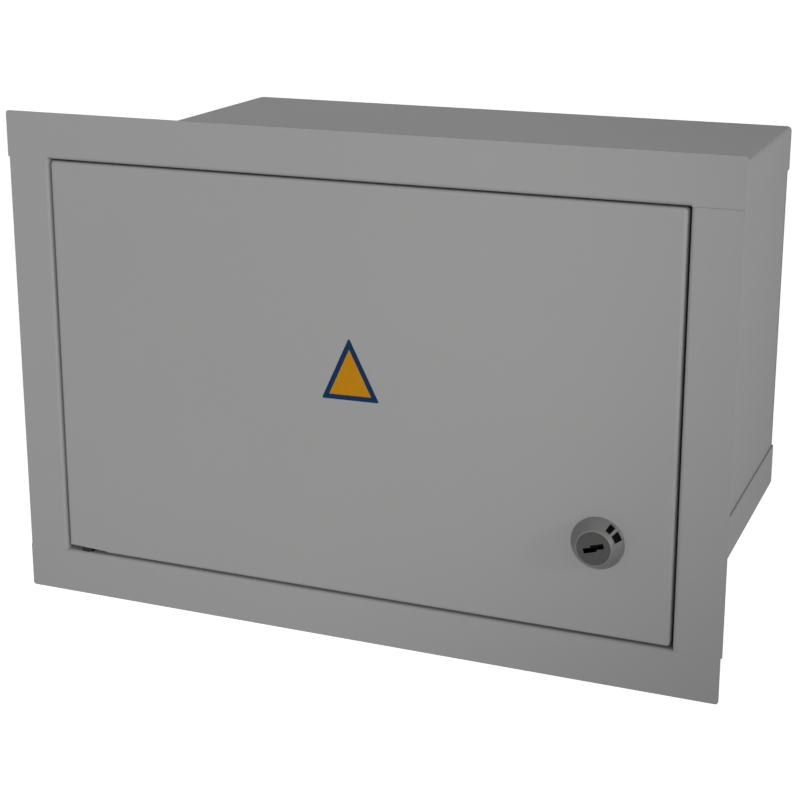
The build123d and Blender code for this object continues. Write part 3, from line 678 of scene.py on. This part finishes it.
# Studio: a white floor far below the board, as it hangs on a wall, and a white sky that is dimmer above. A
# soft-edged lamp beside the camera leaves the lower right corner dimmer, a weaker one lights the right
# side, and two wide soft lamps fill in the front from the left and the back.
FLOOR_DROP = 0.9
FLOOR_SIZE = 60.0
FLOOR_WHITE = (0.9, 0.9, 0.9)
FLOOR_ROUGHNESS = 0.9
FLOOR_GLOW = 0.7
SKY_LOW = (0.78, 0.78, 0.78, 1.0)
SKY_HIGH = (0.27, 0.27, 0.27, 1.0)
SKY_SEEN = (1.0, 1.0, 1.0, 1.0)
KEY_AIM = Vector((-0.06, -0.26, 0.07))
KEY_DISTANCE = 4.0
KEY_AZIMUTH = math.radians(28.0)
KEY_ELEVATION = math.radians(17.0)
KEY_RADIUS = 0.11
KEY_CONE = math.radians(10.0)
KEY_SOFTNESS = 0.67
KEY_POWER = 281.0
SIDE_AIM = Vector((0.175, -0.15, 0.16))
SIDE_PLACE = Vector((1.9, -0.75, 0.55))
SIDE_RADIUS = 0.12
SIDE_CONE = math.radians(24.5)
SIDE_SOFTNESS = 1.0
SIDE_POWER = 40.0
FILL_AIM = Vector((0.0, -0.26, 0.0))
FILL_PLACE = Vector((-1.0, -2.4, 0.0))
FILL_SIZE = 1.2
FILL_POWER = 4.5
REAR_AIM = Vector((0.0, 0.0, 0.0))
REAR_PLACE = Vector((-2.0, 0.9, 0.5))
REAR_SIZE = 0.6
REAR_POWER = 6.0


def seen_directly(start):
    """1 for what the camera, a reflection or clear glass sees, 0 for what only lights the object."""
    path = start.tree.nodes.new("ShaderNodeLightPath").outputs
    kinds = ("Camera", "Glossy", "Transmission")
    return greatest(*[Wire(start.tree, path[f"Is {kind} Ray"]) for kind in kinds])


def add_lamp(data, power, place, aim):
    """Sets a lamp and turns it to a point."""
    data.energy = power
    lamp = new_object(data.name, data)
    lamp.location = place
    lamp.rotation_euler = (aim - place).to_track_quat("-Z", "Y").to_euler()


def beam(name, radius, cone, softness):
    """A lamp with a soft-edged beam."""
    data = bpy.data.lights.new(name, "SPOT")
    data.shadow_soft_size = radius
    data.spot_size = cone
    data.spot_blend = softness
    return data


def wide_lamp(name, size):
    """A square lamp that gives soft shadows."""
    data = bpy.data.lights.new(name, "AREA")
    data.size = size
    return data


floor_mesh = bpy.data.meshes.new("floor")
half = FLOOR_SIZE / 2
corners = [(-half, -half), (half, -half), (half, half), (-half, half)]
floor_mesh.from_pydata([(x, y, -FLOOR_DROP) for x, y in corners], [], [(0, 1, 2, 3)])
floor = new_object("floor", floor_mesh)
floor_paint, floor_shader, floor_place = new_material("floor_white")
floor_shader.inputs["Base Color"].default_value = (*FLOOR_WHITE, 1.0)
floor_shader.inputs["Roughness"].default_value = FLOOR_ROUGHNESS
floor_shader.inputs["Emission Strength"].default_value = FLOOR_GLOW
shaded(floor_place, FLOOR_WHITE, seen_directly(floor_place)).into(floor_shader, "Emission Color")
floor_mesh.materials.append(floor_paint)

world = bpy.data.worlds.new("studio")
bpy.context.scene.world = world
world.use_nodes = True
sky = world.node_tree.nodes["Background"]
direction = Wire(world.node_tree, world.node_tree.nodes.new("ShaderNodeTexCoord").outputs["Generated"])
glow = blend(direction, rise(along(direction, "Z"), 0.0, 1.0), SKY_LOW, SKY_HIGH)
blend(direction, seen_directly(direction), glow, SKY_SEEN).into(sky, "Color")

key_level = math.cos(KEY_ELEVATION)
key_x = math.sin(KEY_AZIMUTH) * key_level
key_y = -math.cos(KEY_AZIMUTH) * key_level
key_place = KEY_AIM + Vector((key_x, key_y, math.sin(KEY_ELEVATION))) * KEY_DISTANCE
add_lamp(beam("key_lamp", KEY_RADIUS, KEY_CONE, KEY_SOFTNESS), KEY_POWER, key_place, KEY_AIM)
add_lamp(beam("side_lamp", SIDE_RADIUS, SIDE_CONE, SIDE_SOFTNESS), SIDE_POWER, SIDE_PLACE, SIDE_AIM)
add_lamp(wide_lamp("fill_lamp", FILL_SIZE), FILL_POWER, FILL_PLACE, FILL_AIM)
add_lamp(wide_lamp("rear_lamp", REAR_SIZE), REAR_POWER, REAR_PLACE, REAR_AIM)

# Camera: the photograph's view, from the right and a little above, with a long lens. The small shift
# follows the way the photograph is framed.
CAMERA_PLACE = (0.3455, -1.0461, 0.2703)
CAMERA_AZIMUTH = math.radians(21.93)
CAMERA_ELEVATION = math.radians(14.99)
CAMERA_LENS = 78.17
CAMERA_SENSOR = 36.0
CAMERA_SHIFT_Y = -0.1

camera_data = bpy.data.cameras.new("camera")
camera_data.sensor_width = CAMERA_SENSOR
camera_data.lens = CAMERA_LENS
camera_data.shift_y = CAMERA_SHIFT_Y
camera = new_object("camera", camera_data)
camera.location = CAMERA_PLACE
camera.rotation_euler = (math.pi / 2 - CAMERA_ELEVATION, 0.0, CAMERA_AZIMUTH)
bpy.context.scene.camera = camera
bpy.context.scene.view_settings.view_transform = "Standard"
